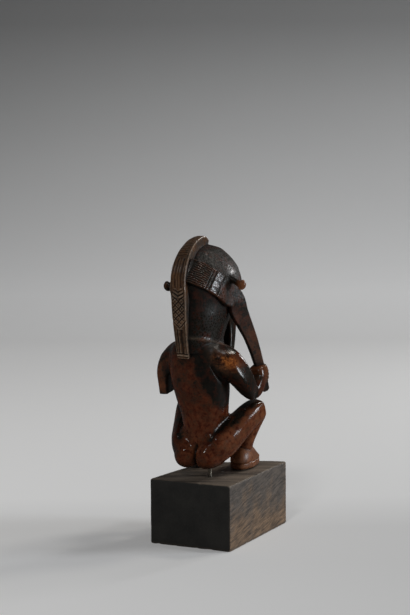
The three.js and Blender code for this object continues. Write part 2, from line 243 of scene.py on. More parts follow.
def mesh_from_grid(grid):
    """Vertices and faces of a closed skin: the grid wraps in its second direction, and its first and
    last rows, which have shrunk to a point, become one vertex each."""
    rows, around = grid.shape[:2]
    body = grid[1:-1].reshape(-1, 3)
    verts = np.vstack([body, grid[0].mean(0), grid[-1].mean(0)])
    i = np.arange(rows - 3)[:, None] * around
    j = np.arange(around)[None, :]
    k = (j + 1) % around
    quads = np.stack([i + j, i + k, i + around + k, i + around + j], -1).reshape(-1, 4)
    first, final = len(body), len(body) + 1
    ring = np.arange(around)
    nxt = (ring + 1) % around
    low = np.stack([np.full(around, first), nxt, ring], 1)
    base = (rows - 3) * around
    high = np.stack([np.full(around, final), base + ring, base + nxt], 1)
    return verts, quads, np.vstack([low, high])


def volume(verts, tris):
    """What closed triangles hold: the sum of the wedges that they make with the origin."""
    a, b, c = (verts[tris[:, k]] for k in range(3))
    return (a * np.cross(b, c)).sum() / 6


def part_slot(part):
    return bpy.data.materials.get(part) or bpy.data.materials.new(part)


def smooth(mesh, sharp_degrees=180):
    """Soft shading, with an edge kept where faces meet at more than that."""
    mesh.polygons.foreach_set("use_smooth", np.ones(len(mesh.polygons), bool))
    if sharp_degrees < 180:
        mesh.set_sharp_from_angle(angle=math.radians(sharp_degrees))


def put(name, data):
    """A new object with that data, placed at the origin of the scene."""
    made = bpy.data.objects.new(name, data)
    bpy.context.scene.collection.objects.link(made)
    return made


def add_object(name, grids, part=None):
    """One mesh object from closed grids, in metres, each turned the right way out. Its only material
    slot carries the name of the part, which tells the parts apart after they are joined."""
    all_verts, all_faces, start = [], [], 0
    for grid in grids:
        verts, quads, tris = mesh_from_grid(grid)
        split = np.vstack([tris, quads[:, [0, 1, 2]], quads[:, [0, 2, 3]]])
        if volume(verts, split) < 0:
            quads, tris = quads[:, ::-1], tris[:, ::-1]
        all_verts.append(verts * MM)
        all_faces += (quads + start).tolist() + (tris + start).tolist()
        start += len(verts)
    mesh = bpy.data.meshes.new(name)
    mesh.from_pydata(np.vstack(all_verts), [], all_faces)
    mesh.update()
    if part:
        mesh.materials.append(part_slot(part))
    return put(name, mesh)


def right(grid, shift=0.0):
    """To the figure's right of its middle plane, which is the -X side."""
    return grid * [-1, 1, 1] + [MIDPLANE - shift, 0, 0]


def left(grid, shift=0.0):
    """To the figure's left, where out becomes +X."""
    return grid + [MIDPLANE - shift, 0, 0]


def both(grid):
    return [right(grid), left(grid)]


def bake_modifiers(obj):
    """Replaces the object's mesh by what its modifiers make of it."""
    made = bpy.data.meshes.new_from_object(obj.evaluated_get(bpy.context.evaluated_depsgraph_get()))
    obj.modifiers.clear()
    obj.data = made


def join(obj, other):
    """The union of two closed skins. The second object is used up."""
    union = obj.modifiers.new("join", "BOOLEAN")
    union.operation = "UNION"
    union.solver = "MANIFOLD"
    union.object = other
    bake_modifiers(obj)
    bpy.data.objects.remove(other)


def read(items, key, kind, width):
    """That property of a mesh's items as an array with a row of that width for each."""
    values = np.empty(len(items) * width, kind)
    items.foreach_get(key, values)
    return values.reshape(-1, width)


def coordinates(mesh):
    """Places of the vertices in mm."""
    return read(mesh.vertices, "co", np.float32, 3).astype(float) / MM


def set_coordinates(mesh, verts):
    mesh.vertices.foreach_set("co", (verts * MM).astype(np.float32).ravel())
    mesh.update()


def normals(mesh):
    """The way each vertex faces."""
    return read(mesh.vertex_normals, "vector", np.float32, 3).astype(float)


def edges(mesh):
    return read(mesh.edges, "vertices", np.int32, 2)


def neighbour_mean(values, pairs, count):
    """For each vertex the mean of values over the vertices that share an edge with it."""
    total = np.zeros((count, values.shape[1]))
    for k in range(values.shape[1]):
        total[:, k] = np.bincount(pairs[:, 0], values[pairs[:, 1], k], count)
        total[:, k] += np.bincount(pairs[:, 1], values[pairs[:, 0], k], count)
    share = np.bincount(pairs.ravel(), minlength=count)
    return total / np.maximum(share, 1)[:, None]


def fill_creases(mesh, rounds, strength):
    """Lifts only hollow places: each vertex moves towards its neighbours' mean by the part of that
    way that points out of the skin, times strength, a number or a function of the vertices."""
    verts, pairs = coordinates(mesh), edges(mesh)
    for _ in range(rounds):
        set_coordinates(mesh, verts)
        out = normals(mesh)
        way = neighbour_mean(verts, pairs, len(verts)) - verts
        share = strength(verts) if callable(strength) else strength
        rise = np.maximum((way * out).sum(1), 0) * share
        verts = verts + out * rise[:, None]
    set_coordinates(mesh, verts)


def relax(mesh, rounds, strength=0.5):
    """Evens the skin: each vertex moves towards its neighbours' mean, then half as far back."""
    verts, pairs = coordinates(mesh), edges(mesh)
    for _ in range(rounds):
        verts = verts + strength * (neighbour_mean(verts, pairs, len(verts)) - verts)
        verts = verts - strength * 0.94 * (neighbour_mean(verts, pairs, len(verts)) - verts)
    set_coordinates(mesh, verts)


def lattice_noise(points, cell, seed):
    """Smooth noise from -1 to 1: random values on a cubic lattice, blended with smoothed weights."""
    table = np.random.default_rng(seed).uniform(-1, 1, 4096)
    p = points / cell + 1000.0
    base = np.floor(p).astype(np.int64)
    f = p - base
    w = f * f * (3 - 2 * f)
    total = np.zeros(len(points))
    for corner in range(8):
        bits = np.array([corner & 1, corner >> 1 & 1, corner >> 2 & 1])
        at = base + bits
        key = (at[:, 0] * 73856093 ^ at[:, 1] * 19349663 ^ at[:, 2] * 83492791) & 4095
        weight = np.where(bits, w, 1 - w).prod(1)
        total += table[key] * weight
    return total


def unevenness(points, *layers):
    """Lattice noises added up, each given by how far it moves, its cell and its seed."""
    return sum(reach * lattice_noise(points, cell, seed) for reach, cell, seed in layers)


def bell(x, width):
    """1 at 0, falling off smoothly on both sides."""
    return np.exp(-((x / width) ** 2))


def step(x, low, high):
    """0 below low, 1 above high, smooth between."""
    s = np.clip((x - low) / (high - low), 0, 1)
    return s * s * (3 - 2 * s)


def fall(x, low, high):
    """1 below low, 0 above high, smooth between."""
    return 1 - step(x, low, high)


def near_path(points, path, width):
    """1 on a chain of straight runs, falling to 0 over width."""
    path = np.asarray(path, float)
    gaps = []
    for start, run in zip(path, np.diff(path, axis=0)):
        share = np.clip((points - start) @ run / (run @ run), 0, 1)
        gaps.append(np.linalg.norm(points - start - share[:, None] * run, axis=1))
    return bell(np.min(gaps, axis=0), width)


# The body: limbs joined on a fine lattice, hollows filled as a carver rounds them


def over_shoulders(verts):
    """1 where the back rises into the neck, the hollow that is filled most."""
    return 0.5 * step(verts[:, 2], 108, 116) * step(verts[:, 1], 12, 20)


def armpit(verts, out):
    """1 in the cut under the right arm, on a straight line that runs down and outwards."""
    up, back = verts[:, 2], verts[:, 1]
    (top_out, top_up), (foot_out, foot_up) = ARMPIT_TOP, ARMPIT_FOOT
    down = np.clip((top_up - up) / (top_up - foot_up), 0, 1)
    aside = out - top_out - (foot_out - top_out) * down
    above = up - top_up + (top_up - foot_up) * down
    return bell(np.hypot(aside, 0.6 * above), 1.1) * step(back, 17, 21)


def body_relief(verts, facing):
    """How far the carving of the body rises, in mm: unevenness, armpit, seat, navel and breast."""
    out, back, up = MIDPLANE - verts[:, 0], verts[:, 1], verts[:, 2]
    rise = unevenness(verts, (0.13, 7, 3), (0.05, 2.6, 4))
    rise -= 1.3 * armpit(verts, out)
    rear = step(facing[:, 1], -0.1, 0.25) * step(back, 10, 16)
    plan, mirrored = np.stack([out, up], 1), np.stack([np.abs(out), up], 1)
    rise -= 1.3 * rear * near_path(mirrored, SEAT_CREASE, 1.5) * step(mirrored[:, 0], 5, 13)
    rise -= 2.0 * rear * near_path(plan, SEAT_CLEFT, 1.0)
    rise -= 0.6 * rear * bell(np.hypot(out * 0.4, up - 64), 3)
    rise += 1.9 * rear * bell(np.hypot(mirrored[:, 0] - 7.5, up - 55.5), 5)
    front = step(-facing[:, 1], 0.2, 0.8) * fall(back, 6, 12)
    rise += front * 1.1 * bell(np.hypot(out, up - 78), 1.9)
    rise += front * 0.8 * bell(np.hypot(mirrored[:, 0] - 7, (up - 107) * 1.3), 4.5)
    return rise


def carve_body():
    """Torso, neck root, arms and legs: the limbs become one skin on a lattice of cells, which is evened,
    has its hollows filled and is then carved by moving each vertex along its normal."""
    # Places around and along each limb, then the shares of it that its start and its end take to close
    grids = [right(limb(TORSO, 96, 96, 0.1, 0.06))]
    grids += both(limb(THIGH, 72, 80, 0.2, 0.03))
    grids += both(limb(SHIN, 64, 64, 0.1, 0.1))
    grids += both(limb(BUTTOCK, 72, 64, 0.3, 0.2))
    grids.append(right(limb(UPPER_ARM, 72, 80, 0.2, 0.1)))
    grids.append(left(limb(BLUNT_UPPER_ARM, 72, 80, 0.2, 0.012)))
    grids.append(right(limb(FOREARM, 56, 48)))
    grids.append(left(limb(SHORT_FOREARM, 56, 48)))
    grids.append(right(limb(NECK_ROOT, 80, 40, 0.05, 0.05), HEAD_SHIFT))
    body = add_object("carved_figure_wood", grids, "body")
    remesh = body.modifiers.new("join", "REMESH")
    remesh.mode = "VOXEL"
    remesh.voxel_size = BODY_VOXEL * MM
    bake_modifiers(body)
    relax(body.data, rounds=3)
    fill_creases(body.data, rounds=5, strength=0.5)
    fill_creases(body.data, rounds=70, strength=over_shoulders)
    relax(body.data, rounds=2)
    verts, facing = coordinates(body.data), normals(body.data)
    set_coordinates(body.data, verts + facing * body_relief(verts, facing)[:, None])
    return body


# The head: level sections, close together over the face


def face_relief(x, z):
    """How far the features stand out of the skull, in mm, at x from its middle and height z."""
    brow_up, socket_up, eye_up, hairline = 163.3, 157.6, 157.4, 168.4
    nose_root, nose_long, nose_base = 162.6, 12.4, 150.1
    upper_lip, mouth_up, lower_lip = 146.5, 145.15, 143.9
    eye_inner, eye_long = 2.4, 7.6
    a = np.abs(x)
    brow = 1.3 * bell(z - (brow_up - 0.022 * (a - 5) ** 2), 1.25) * fall(a, 9.5, 13.5)
    socket = -1.7 * bell(a - 6.2, 5.0) * bell(z - socket_up, 4.2)
    along = np.clip((a - eye_inner) / eye_long, 0, 1)
    lid = 2.0 * np.sqrt(np.clip(4 * along * (1 - along), 0, 1)) + 0.001
    inside = (z - (eye_up + 0.5 * (along - 0.5))) / lid
    in_eye = (a > eye_inner) & (a < eye_inner + eye_long)
    ball = np.where(in_eye & (np.abs(inside) < 1), 1.5 * np.sqrt(np.clip(1 - inside**2, 0, 1)), 0)
    rim = np.where(in_eye, 0.45 * bell(np.abs(inside) - 1.12, 0.2), 0)
    slit = np.where(in_eye, -0.5 * bell(inside, 0.17) * bell(along - 0.5, 0.42), 0)
    down = np.clip((nose_root - z) / nose_long, 0, 1)
    half = 1.35 + 1.25 * down**1.6
    tip = step(z, nose_base - 1.2, nose_base)
    bridge = (0.9 + 3.9 * down**1.25) * np.exp(-(np.abs(x / half) ** 2.6)) * tip * step(down, 0, 0.1)
    wings = 1.7 * bell(a - 2.9, 1.25) * bell(z - 150.9, 1.35)
    cheeks = 0.7 * bell(a - 8.6, 4.2) * bell(z - 150.5, 4)
    width = np.sqrt(np.clip(1 - (x / 5.4) ** 2, 0, 1))
    bow = upper_lip - 0.35 * bell(x, 1.0) - 0.02 * x**2
    upper = 1.75 * width * bell(z - bow, 0.95)
    lower = 1.9 * width**1.2 * bell(z - lower_lip - 0.02 * x**2, 1.05)
    mouth = -0.7 * width**0.5 * bell(z - mouth_up, 0.3)
    cap = 0.7 * step(z - (hairline - 0.018 * x**2), 0, 0.7) * fall(a, 12.5, 15.5) * fall(z, 171, 177)
    return brow + socket + ball + rim + slit + bridge + wings + cheeks + upper + lower + mouth + cap


def neck_ring(back, up, height, width):
    """1 on the ring where the neck meets the shoulders, which sinks towards the front."""
    return bell(up - height + 0.24 * np.clip(42 - back, 0, 24), width)


def head_grid():
    """Neck and head as level superellipse sections, closed over the crown by a quarter ellipse. The
    features move the front half out or in, the ring and the unevenness move all of it outwards."""
    neck_foot, face_low, face_top, dome_top, crown = 117.05, 139, 170.5, 181.2, 181.8
    closing, closing_high = 178.2, 3.6
    levels = np.concatenate([
        np.linspace(neck_foot, face_low, 24, endpoint=False),
        np.linspace(face_low, face_top, 84, endpoint=False),
        np.linspace(face_top, dome_top, 16, endpoint=False),
        crown - 0.6 * np.linspace(1, 0, 7) ** 2,
    ])
    walk = np.linspace(0, len(HEAD) - 1, 800)
    t = np.interp(levels, catmull(HEAD, walk)[:, 2], walk)
    rows = catmull(HEAD, t)
    centre, sizes = rows[:, :3], rows[:, 3:]
    front, half = math.radians(270), math.radians(64)
    turn = np.concatenate([
        np.linspace(front - half, front + half, 104, endpoint=False),
        np.linspace(front + half, front - half + 2 * math.pi, 64, endpoint=False),
    ])
    u, v = superellipse(turn, 2 / sizes[:, 2:3])
    share = np.clip((centre[:, 2] - closing) / closing_high, 0, 1)
    close = np.sqrt(1 - share**2)[:, None]
    close[0] = 0
    x = centre[:, 0:1] + sizes[:, 0:1] * close * u
    y = centre[:, 1:2] + sizes[:, 1:2] * close * v
    z = np.broadcast_to(centre[:, 2:3], x.shape)
    y = y - face_relief(x, z) * step(-v, 0.25, 0.5)
    ring = 0.6 * neck_ring(y, z, 127.5, 0.75)
    x, y = x * (1 + ring / sizes[:, 0:1]), y + ring * v
    flat = np.stack([x, y, z], -1).reshape(-1, 3)
    away = np.stack([np.broadcast_to(u, x.shape), np.broadcast_to(v, x.shape), 0 * x], -1).reshape(-1, 3)
    calm = np.where(flat[:, 1] < 0, 0.25, 1.0)  # the face is smoother
    flat = flat + away * (calm * unevenness(flat, (0.14, 6, 5), (0.04, 2.2, 6)))[:, None]
    return flat.reshape(x.shape + (3,))


# Planks: the crest, the bands of hair with their locks, and the beard


def across_face(count):
    """Places from -1 to 1 without the ends, closer together towards them: part even steps, part a sine."""
    even = np.linspace(-1, 1, count + 2)[1:-1]
    return 0.65 * even + 0.35 * np.sin(math.pi / 2 * even)


def rounded(x, y, wide, thick, corner):
    """Section places pulled in onto circles of radius corner where they lie beyond them."""
    over_x = np.maximum(np.abs(x) - (wide - corner), 0)
    over_y = np.maximum(np.abs(y) - (thick - corner), 0)
    far = np.hypot(over_x, over_y)
    pull = np.where(far > corner, corner / np.maximum(far, 1e-9), 1.0)
    return np.sign(x) * (np.abs(x) - over_x * (1 - pull)), np.sign(y) * (np.abs(y) - over_y * (1 - pull))


def plank(stations, facing, shares, points, corner, start, end, relief):
    """A bar of rounded rectangular section along the stations' curve, whose patterned face looks along
    facing(centre). points counts the places across that face, each side and the back.
    relief(distance along, share across from -1 to 1, whole length) lifts the patterned face."""
    shares = np.concatenate([[0, 0.25 * start], shares, [1 - 0.25 * end, 1]])
    t, length = places(stations, shares)
    rows = catmull(stations, t)
    centre = rows[:, :3]
    tangent = direction(stations, t)
    outward = square_to(facing(centre), tangent)
    across = np.cross(outward, tangent)
    n_face, n_side, n_back = points
    a, b, c = across_face(n_face), across_face(n_side), across_face(n_back)
    flat_x = np.concatenate([a, np.ones(n_side), -c, -np.ones(n_side)])
    flat_y = np.concatenate([np.ones(n_face), -b, -np.ones(n_back), b])
    patterned = np.concatenate([np.ones(n_face), np.zeros(2 * n_side + n_back)])
    size = rows[:, 3:5] * rounding(shares, start, end)[:, None]
    wide, thick = size[:, 0:1], size[:, 1:2]
    x, y = rounded(wide * flat_x, thick * flat_y, wide, thick, corner)
    y = y + patterned * relief(shares[:, None] * length, flat_x[None, :], length)
    return centre[:, None] + across[:, None] * x[..., None] + outward[:, None] * y[..., None]


def groove(phase, width):
    """1 on every whole number of phase, falling to 0 over width."""
    return bell(phase - np.round(phase), width)


def within(t, low, high, soft=0.008):
    """1 from low to high, 0 outside, smooth over soft at both ends."""
    return step(t, low, low + soft) * fall(t, high - soft, high)


def crest_relief(s, a, length):
    """The crest's carving from its front end down: cross lines, three long ridges, chevrons, a lattice
    of diamonds ending in a point, three narrow ridges, and a double bar. s is the way along, a the
    share across; both waver a little, as a hand does."""
    t = s / length
    zone = {name: within(t, *ends) for name, ends in CREST_ZONES.items()}
    a = a + 0.025 * np.sin(0.55 * s) + 0.015 * np.sin(1.7 * s + 1)
    s = s + 0.3 * np.sin(0.5 * s + 3 * a) * (1 - t)
    inner = fall(np.abs(a), 0.7, 0.78)
    cut = 0.28 * bell(np.abs(a) - 0.8, 0.06) * within(t, 0.03, 0.965)
    cut = cut + 0.2 * groove(s / 1.55, 0.2) * inner * zone["cross lines"]
    furrows = 0.55 * bell(a + 0.42, 0.13) + 0.5 * bell(a - 0.36, 0.12) + 0.25 * bell(a, 0.08)
    cut = cut + furrows * zone["long ridges"]
    cut = cut + 0.45 * groove((s + 3.0 * np.abs(a)) / 2.3, 0.2) * inner * zone["chevrons"]
    lattice = np.maximum(groove((s + 4.3 * a) / 4.0, 0.13), groove((s - 4.3 * a) / 4.0, 0.13))
    pointed = within(t + 0.045 * np.abs(a), *CREST_ZONES["lattice"])
    cut = cut + 0.5 * lattice * inner * pointed
    cut = cut + 0.5 * bell(t - 0.785 + 0.05 * np.abs(a), 0.006)
    cut = cut + (0.75 * bell(a + 0.2, 0.24) + 0.55 * bell(a - 0.36, 0.1)) * zone["narrow ridges"]
    cut = cut + 0.5 * bell(s - (length - 3.6), 0.4) + 0.5 * bell(s - (length - 1.7), 0.4)
    return -cut * step(s, 0.5, 1.5) * step(length - s, 0.2, 0.8)


def band_relief(s, a, length):
    """The band beside the crest: wavy lines along it, beads between two cross lines, a smooth panel, a
    cross line. s is the way along in mm, a the share across."""
    s = s + 1.6 * a
    wavy = a * 5.6 + 0.1 * np.sin(0.9 * s + 3 * a) + 0.06 * np.sin(2.3 * s - 5 * a)
    lines = 0.42 * groove(wavy, 0.22) * within(s, 2.6, 14.2, 0.8) * fall(np.abs(a), 0.9, 0.96)
    beads = 0.3 * groove(a * 5.6 + 0.5, 0.3) * bell(s - 15.6, 0.6)
    cross = 0.5 * bell(s - 17.0, 0.38) + 0.45 * bell(s - 24.2, 0.38) + 0.3 * bell(s - 14.5, 0.3)
    return (beads - lines - cross) * fall(np.abs(a), 0.93, 1)


def beard_relief(s, a, length):
    """Upright lines over the beard, left out near its ends."""
    return -0.4 * groove(a * 3.5, 0.16) * within(s / length, 0.2, 0.94, 0.05)


def away_from_head(points):
    """Outwards from the axis of the head, leaning up where the band lies on the falling dome, and
    turning towards the back where it leaves the head and hangs."""
    out, back, up = points.T
    away = np.stack([out, (back - HEAD_AXIS) * SKULL_ACROSS / SKULL_DEEP, 0 * out], 1)
    lean = 0.5 * step(up, 150, 166)
    over = unit(away) + np.stack([0 * lean, 0 * lean, lean], 1)
    hang = fall(up, 142, 158)[:, None]
    return over * (1 - hang) + np.array([0.8, 0.6, 0.1]) * hang


def away_from_crown(points):
    """Outwards from a point in the skull that the crest bends round."""
    return points - np.array([0, 14.0, 148.0])


def forward(points):
    """The way the figure looks, which is -Y."""
    return np.broadcast_to(np.array([0, -1.0, 0]), points.shape)


def swapped(stations):
    """The same stations with width and thickness exchanged."""
    return [(out, back, up, deep, across, square) for out, back, up, across, deep, square in stations]


def strap_stations(inset):
    """A band of hair and its lock: an ellipse round the skull, set in from its surface, from just beside
    the crest to the ear while it sinks, then the lock's own stations."""
    beside_crest, before_ear, top, sinks = 4, 97, 168, 20
    thick, wide, squareness = 2.4, 7.4, 3.4
    rows = []
    for share in np.linspace(0, 0.85, 6):
        angle = math.radians(beside_crest + (before_ear - beside_crest) * share)
        out = (SKULL_ACROSS - inset) * math.sin(angle)
        back = HEAD_AXIS + (SKULL_DEEP - inset) * math.cos(angle)
        rows.append((out, back, top - sinks * share**1.5, thick, wide, squareness))
    return swapped(rows + LOCK_END)


def strap(inset, seed):
    """One band with its lock, its rows closer together over the patterned quarter."""
    shares = np.concatenate([np.linspace(0.012, 0.25, 84, endpoint=False), np.linspace(0.25, 0.985, 56)])
    stations, points = strap_stations(inset), (52, 6, 5)
    grid = plank(stations, away_from_head, shares, points, 0.75, 0.012, 0.015, band_relief)
    return roughen(grid, 0.1, seed)


def roughen(grid, amount, seed):
    """Small unevenness of the carving: smooth noise of two sizes, moved along each axis on its own."""
    flat = grid.reshape(-1, 3)
    push = [unevenness(flat, (1, 5, seed + k), (0.4, 2, seed + 3 + k)) for k in range(3)]
    return (flat + amount * np.stack(push, 1)).reshape(grid.shape)


def fist():
    """A short upright limb with level cuts between the fingers on its outer front."""
    middle_out, middle_back = 25, -10.5
    grid = limb(FIST, 52, 52, 0.18, 0.2)
    out, back, up = grid[..., 0], grid[..., 1], grid[..., 2]
    outer = step((out - middle_out) * 0.2 - (back - middle_back) * 0.8, 0.6, 2.4)
    cut = 0.45 * groove((up - 98.9) / 2.3, 0.17) * outer * within(up, 95.4, 103.4, 0.4)
    middle = np.stack([0 * out + middle_out, 0 * out + middle_back, up], -1)
    return grid - unit(grid - middle) * cut[..., None]


def foot():
    """The foot's plan is a rounded strip. From the sole it rises upright, then closes as a low dome,
    higher at the ankle. Rows go up from the middle of the sole to the middle of the back of the foot:
    up to the share sole they spread, up to the share rim they rise, and the rest is the dome."""
    rows, around = 54, 84
    sole, rim = 0.2, 0.5
    heel, toe, middle = 0.2, -31.5, 13.6
    half_long, plan_middle = (heel - toe) / 2, (heel + toe) / 2
    turn = np.linspace(0, 2 * math.pi, around, endpoint=False)[None, :]
    v = np.linspace(0, 1, rows)[:, None]
    across, along = superellipse(turn, 0.8)
    plan_back = plan_middle + half_long * along
    plan_out = (7.5 - 0.6 * step(plan_back, -12, heel)) * across
    spread = np.clip(v / sole, 0, 1)
    rise = np.clip((v - sole) / (rim - sole), 0, 1)
    dome = np.clip((v - rim) / (1 - rim), 0, 1) * math.pi / 2
    reach = np.where(v < sole, spread, np.where(v < rim, 1, np.cos(dome) ** 0.72))
    height = 1.6 + 8.6 * step(plan_back * reach + (1 - reach) * -14, -30, -12)
    up = SOLE_UP + 0.35 * step(rise, 0, 0.15) + 4.4 * rise + height * np.sin(dome)
    sole_edge = 0.05 * fall(rise, 0, 0.18) * (v > sole - 0.01)
    welt = 0.055 * bell(up - 44.6, 0.35) * (v < 0.7)
    edge = 1 - sole_edge - welt
    out = plan_out * reach * edge
    back = plan_middle + (plan_back - plan_middle) * reach * edge
    toes = 0.8 * groove(out / 2.6 + 0.5, 0.16) * fall(back, -28, -25) * step(up, 43.4, 45)
    return np.stack([middle + out + (back + 2) * 0.09, back, up - toes], -1)


def build_figure():
    """The whole figure as one skin: each part is joined to the body in turn."""
    body = carve_body()
    # A join keeps the slot of a face only where both skins know it.
    for part in PARTS[1:]:
        body.data.materials.append(part_slot(part))
    crest_rows, beard_rows = np.linspace(0.012, 0.99, 236), np.linspace(0.04, 0.96, 60)
    crest = plank(CREST, away_from_crown, crest_rows, (36, 8, 6), 0.6, 0.012, 0.01, crest_relief)
    beard = plank(BEARD, forward, beard_rows, (42, 9, 12), 1.2, 0.04, 0.04, beard_relief)
    ear, tilt = limb(EAR, 40, 44, 0.1, 0.22, side=(0, 1, 0)), [0, 0, EAR_TILT]
    grids = [
        ("head", right(head_grid(), HEAD_SHIFT)),
        ("crest", right(roughen(crest, 0.07, 11))),
        ("beard", right(beard)),
        ("strap", right(strap(2.0, 21), HEAD_SHIFT)),
        ("strap", left(strap(2.9, 31), HEAD_SHIFT)),
        ("ear", right(ear, HEAD_SHIFT) + tilt),
        ("ear", left(ear, HEAD_SHIFT) - tilt),
    ]
    for place in (right, left):
        grids += [("foot", place(foot())), ("fist", place(fist()))]
    for part, grid in grids:
        join(body, add_object(part, [grid], part))
    return body


# What the materials read off the figure: how dark, how brown, how worn and how hollow each place is


def part_shares(mesh):
    """For each part's name, 1 on the vertices whose faces all belong to it, less on its border."""
    count = len(mesh.vertices)
    loops = read(mesh.loops, "vertex_index", np.int32, 1)[:, 0]
    sizes = read(mesh.polygons, "loop_total", np.int32, 1)[:, 0]
    slots = read(mesh.polygons, "material_index", np.int32, 1)[:, 0]
    of_loop = np.repeat(slots, sizes)
    total = np.maximum(np.bincount(loops, minlength=count), 1)
    return {
        slot.name: np.bincount(loops, of_loop == k, count) / total
        for k, slot in enumerate(mesh.materials) if slot
    }


def blob(verts, centre, size):
    """1 at the centre, falling off smoothly over size, which may differ by axis."""
    return np.exp(-(((verts - centre) / size) ** 2).sum(1))


def store(mesh, name, columns):
    """Keeps up to three values a vertex, cut to 0 to 1, as a colour attribute of that name."""
    data = np.ones((len(mesh.vertices), 4), np.float32)
    data[:, : len(columns)] = np.clip(np.stack(columns, 1), 0, 1)
    mesh.attributes.new(name, "FLOAT_COLOR", "POINT").data.foreach_set("color", data.ravel())


def bending(mesh, verts):
    """Positive in hollows and negative on edges, in 1/mm: the step to the neighbours' mean along the
    normal, over the mean square distance to them."""
    pairs = edges(mesh)
    count = len(verts)
    out = (neighbour_mean(verts, pairs, count) - verts) * normals(mesh)
    span = ((verts[pairs[:, 0]] - verts[pairs[:, 1]]) ** 2).sum(1)
    ends = np.bincount(pairs.ravel(), minlength=count)
    square = np.bincount(pairs[:, 0], span, count) + np.bincount(pairs[:, 1], span, count)
    mean_square = square / np.maximum(ends, 1)
    return np.clip(out.sum(1) / np.maximum(mean_square, 0.01), -2, 2), pairs


def spread_out(values, pairs, rounds):
    """Blends each vertex's value with its neighbours' mean, round after round."""
    for _ in range(rounds):
        values = 0.4 * values + 0.6 * neighbour_mean(values[:, None], pairs, len(values))[:, 0]
    return values


def dark_band(verts):
    """1 in the band down the right side of the back, whose inner edge wanders."""
    out, up = MIDPLANE - verts[:, 0], verts[:, 2]
    edge = 3 + 0.43 * np.maximum(106 - up, 0) + unevenness(verts, (0.8, 6, 61), (0.6, 2.2, 62))
    return step(out, edge, edge + 5) * step(up, 62, 80) * fall(out, 20, 24)


def shaded_undersides(place, facing):
    """1 on the body's undersides and the inner faces of the arms, which are painted dark as shade."""
    out, _, up = place.T
    under = step(-facing[:, 2], 0.1, 0.7) * step(up, 84, 92)
    inwards = facing[:, 0] * np.sign(out)
    return under + step(inwards, 0.4, 0.8) * step(np.abs(out), 18, 20) * step(up, 84, 90)


def body_shade(place, facing):
    """What makes the body blacker, in this order: between the shoulders, the arms' upper sides, the
    seat's creases and cleft, the thighs' tops, the left thigh, under the seat, the right upper arm.
    Of these, the creases and cleft, the thighs' tops under the arms, under the seat and the gap at
    the right upper arm are painted shade. What makes it redder: the legs' fronts, and all of it
    below the waist."""
    out, back, up = place.T
    aside, upwards = np.abs(out), facing[:, 2]
    rear = step(facing[:, 1], -0.1, 0.25) * step(back, 10, 16)
    return (
        0.6 * bell(up - 122, 8) * step(back, 20, 30)
        + 0.3 * step(aside, 20, 23) * step(up, 82, 86) * step(upwards, -0.3, 0.2)
        + 0.8 * rear * near_path(np.stack([aside, up], 1), SEAT_CREASE, 1.8) * step(aside, 5, 13)
        + 0.9 * rear * near_path(np.stack([out, up], 1), SEAT_CLEFT, 1.0)
        + 0.5 * step(upwards, 0.45, 0.75) * step(aside, 12, 15) * step(up, 64, 70) * fall(up, 82, 88)
        + 0.35 * step(-out, 8, 13) * fall(up, 84, 90) * step(back, -4, 6)
        + 0.4 * fall(up, 46, 52) * step(back, 4, 12)
        + 0.6 * step(out, 16, 19) * step(back, -1, 3) * step(up, 86, 88) * fall(up, 106, 110)
        - 0.25 * fall(back, -2, 6) * fall(up, 60, 84)
        - 0.15 * (up < 80)
    )


def body_brown(place):
    """Browner places of the body: the right thigh's side, the outside of the left arm, the shins."""
    out, back, up = place.T
    return (
        0.25 * step(out, 13, 20) * step(up, 52, 60) * fall(up, 76, 84)
        + 0.35 * fall(np.abs(out + 27), 4, 7)
        + 0.35 * fall(up, 40, 66) * fall(back, 0, 6)
    )


def lock_shade(place, facing):
    """The hanging locks: their inner faces are painted dark as shade, their ends are black and their
    middles are paler.
    """
    out, _, up = place.T
    inner = step(facing[:, 1], 0.3, 0.7) * fall(up, 140, 150)
    outwards = -facing[:, 0] * np.sign(out)
    return (
        0.5 * inner * fall(outwards, 0.35, 0.6)
        - 0.25 * fall(up, 125, 140) * step(up, 104, 112)
        + 0.6 * fall(up, 94, 99)
    )


def rubbed_orange(place):
    """Orange where hands have rubbed: a slanting patch on the right shoulder, the right knee and hand."""
    run, offset = unit(np.array(WARM_RUN)), place - np.array(WARM_MIDDLE)
    along = offset @ run
    beside = ((offset - along[:, None] * run) ** 2).sum(1)
    patch = np.exp(-((along / WARM_LONG) ** 2) - beside / WARM_WIDE**2)
    knee, hand = blob(place, (25, -12, 78), (6, 7, 6)), blob(place, (27, -12, 102), (3, 4, 7))
    return patch + 0.3 * knee + 0.3 * hand


